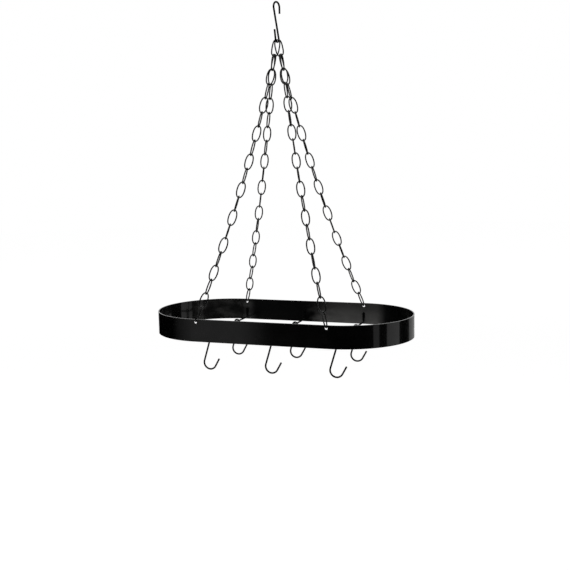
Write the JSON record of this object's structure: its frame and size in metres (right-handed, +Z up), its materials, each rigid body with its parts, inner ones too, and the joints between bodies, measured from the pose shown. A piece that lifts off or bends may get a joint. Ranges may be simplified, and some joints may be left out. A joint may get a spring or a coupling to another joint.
{
  "type": "hanging pot rack",
  "caption": "Hanging pot rack: an oval band of flat black steel bar on four chains from a ceiling hook, with inward wire arms that carry loose J-shaped pot hooks.",
  "frame": {"origin": "the seat in the upper loop of the ceiling hook, where the ceiling's own eye or screw hook carries the rack", "axes": "+Z up; X along the oval band's length; -Y to the front, the long side nearer the camera"},
  "size_m": [0.6098, 0.3126, 0.8235],
  "materials": {
    "band_enamel": "gloss",
    "hook_enamel": "gloss",
    "chain_enamel": "gloss",
    "arm_enamel": "gloss"
  },
  "bodies": {
    "ceiling_hook": {"ceiling_hook": "hook_enamel"},
    "top_links": {"top_link_left": "chain_enamel", "top_link_right": "chain_enamel"},
    "rack": {"band": "band_enamel", "chain_front_left": "chain_enamel", "chain_front_right": "chain_enamel", "chain_back_left": "chain_enamel", "chain_back_right": "chain_enamel", "arm_front_left": "arm_enamel", "arm_front_middle": "arm_enamel", "arm_front_right": "arm_enamel", "arm_back_left": "arm_enamel", "arm_back_middle": "arm_enamel", "arm_back_right": "arm_enamel"},
    "pot_hook_front_left": {"pot_hook_front_left": "hook_enamel"},
    "pot_hook_front_middle": {"pot_hook_front_middle": "hook_enamel"},
    "pot_hook_front_right": {"pot_hook_front_right": "hook_enamel"},
    "pot_hook_back_left": {"pot_hook_back_left": "hook_enamel"},
    "pot_hook_back_middle": {"pot_hook_back_middle": "hook_enamel"},
    "pot_hook_back_right": {"pot_hook_back_right": "hook_enamel"}
  },
  "joints": [
    {"name": "side_swing", "type": "hinge", "parent": "ceiling_hook", "child": "top_links", "pos_m": [0, 0, -0.0842], "axis": [0.2588, 0.9659, 0], "range_deg": [-20, 20]},
    {"name": "fore_aft_swing", "type": "hinge", "parent": "top_links", "child": "rack", "pos_m": [0, 0, -0.11442], "axis": [0.9733, 0.2295, 0], "range_deg": [-18, 18]},
    {"name": "pot_hook_front_left_swing", "type": "hinge", "parent": "rack", "child": "pot_hook_front_left", "pos_m": [-0.152, -0.0825, -0.73529], "axis": [0, 1, 0], "range_deg": [-50, 50]},
    {"name": "pot_hook_front_middle_swing", "type": "hinge", "parent": "rack", "child": "pot_hook_front_middle", "pos_m": [0, -0.0825, -0.73529], "axis": [0, 1, 0], "range_deg": [-50, 50]},
    {"name": "pot_hook_front_right_swing", "type": "hinge", "parent": "rack", "child": "pot_hook_front_right", "pos_m": [0.152, -0.0825, -0.73529], "axis": [0, 1, 0], "range_deg": [-50, 50]},
    {"name": "pot_hook_back_left_swing", "type": "hinge", "parent": "rack", "child": "pot_hook_back_left", "pos_m": [-0.152, 0.0825, -0.73529], "axis": [0, 1, 0], "range_deg": [-50, 50]},
    {"name": "pot_hook_back_middle_swing", "type": "hinge", "parent": "rack", "child": "pot_hook_back_middle", "pos_m": [0, 0.0825, -0.73529], "axis": [0, 1, 0], "range_deg": [-50, 50]},
    {"name": "pot_hook_back_right_swing", "type": "hinge", "parent": "rack", "child": "pot_hook_back_right", "pos_m": [0.152, 0.0825, -0.73529], "axis": [0, 1, 0], "range_deg": [-50, 50]}
  ]
}
